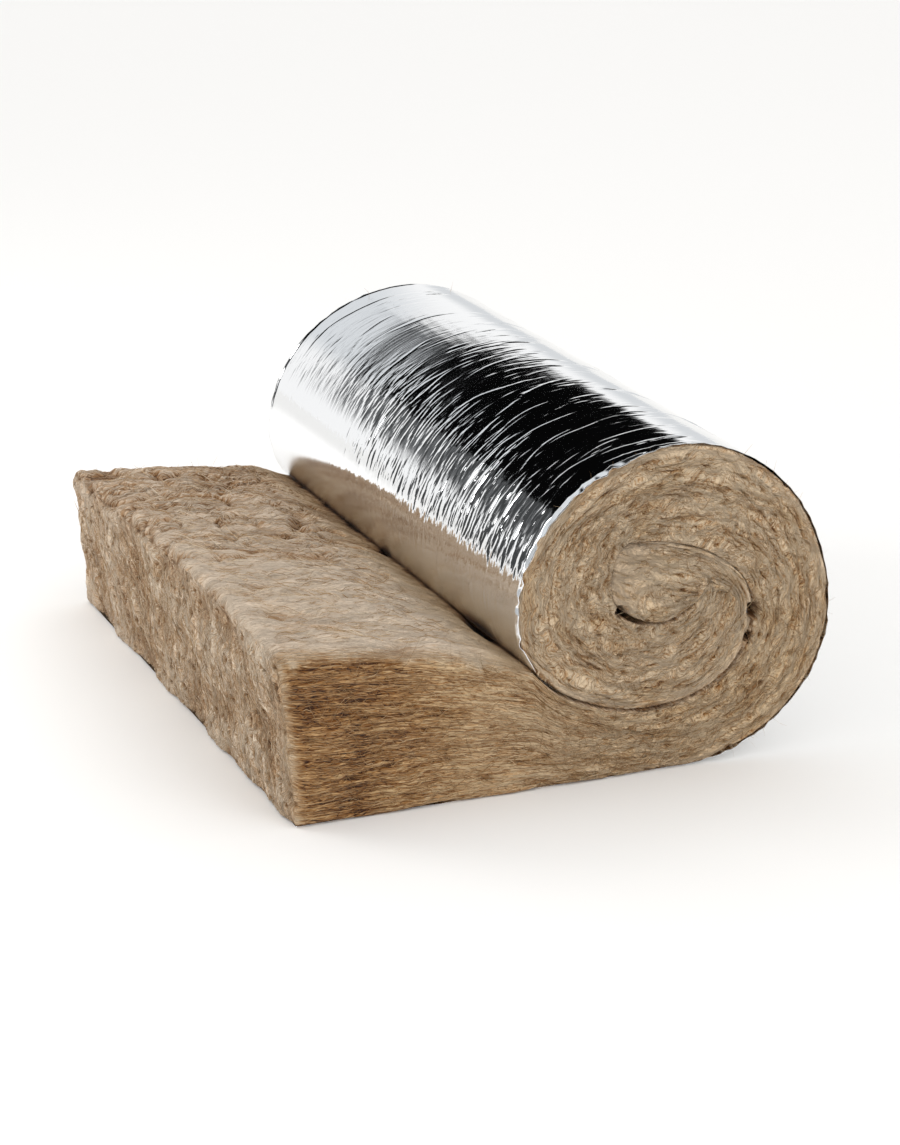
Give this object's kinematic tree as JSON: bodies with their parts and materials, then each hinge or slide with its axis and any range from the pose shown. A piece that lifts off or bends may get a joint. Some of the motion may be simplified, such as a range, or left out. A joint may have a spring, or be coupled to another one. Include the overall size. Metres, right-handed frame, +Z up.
{
  "type": "foil-faced insulation roll",
  "caption": "Foil-faced mineral wool blanket, partly rolled up: one end lies flat at full loft, the other is wound over it with the foil outside and no bore.",
  "frame": {"origin": "middle of the overall box, at the underside that rests on the floor", "axes": "+Y along the roll's axis and across the blanket, +X from the free cut end towards the roll, +Z up"},
  "size_m": [0.482, 0.6, 0.285],
  "materials": {
    "mineral_wool": "matt layered fibres, tan to light brown, fluffy and pale where cut",
    "foil_laminate": "mirror-bright foil with fine crinkles that run round the roll"
  },
  "bodies": {
    "root": {"wool_blanket": "mineral_wool", "foil_facing": "foil_laminate"}
  },
  "joints": []
}
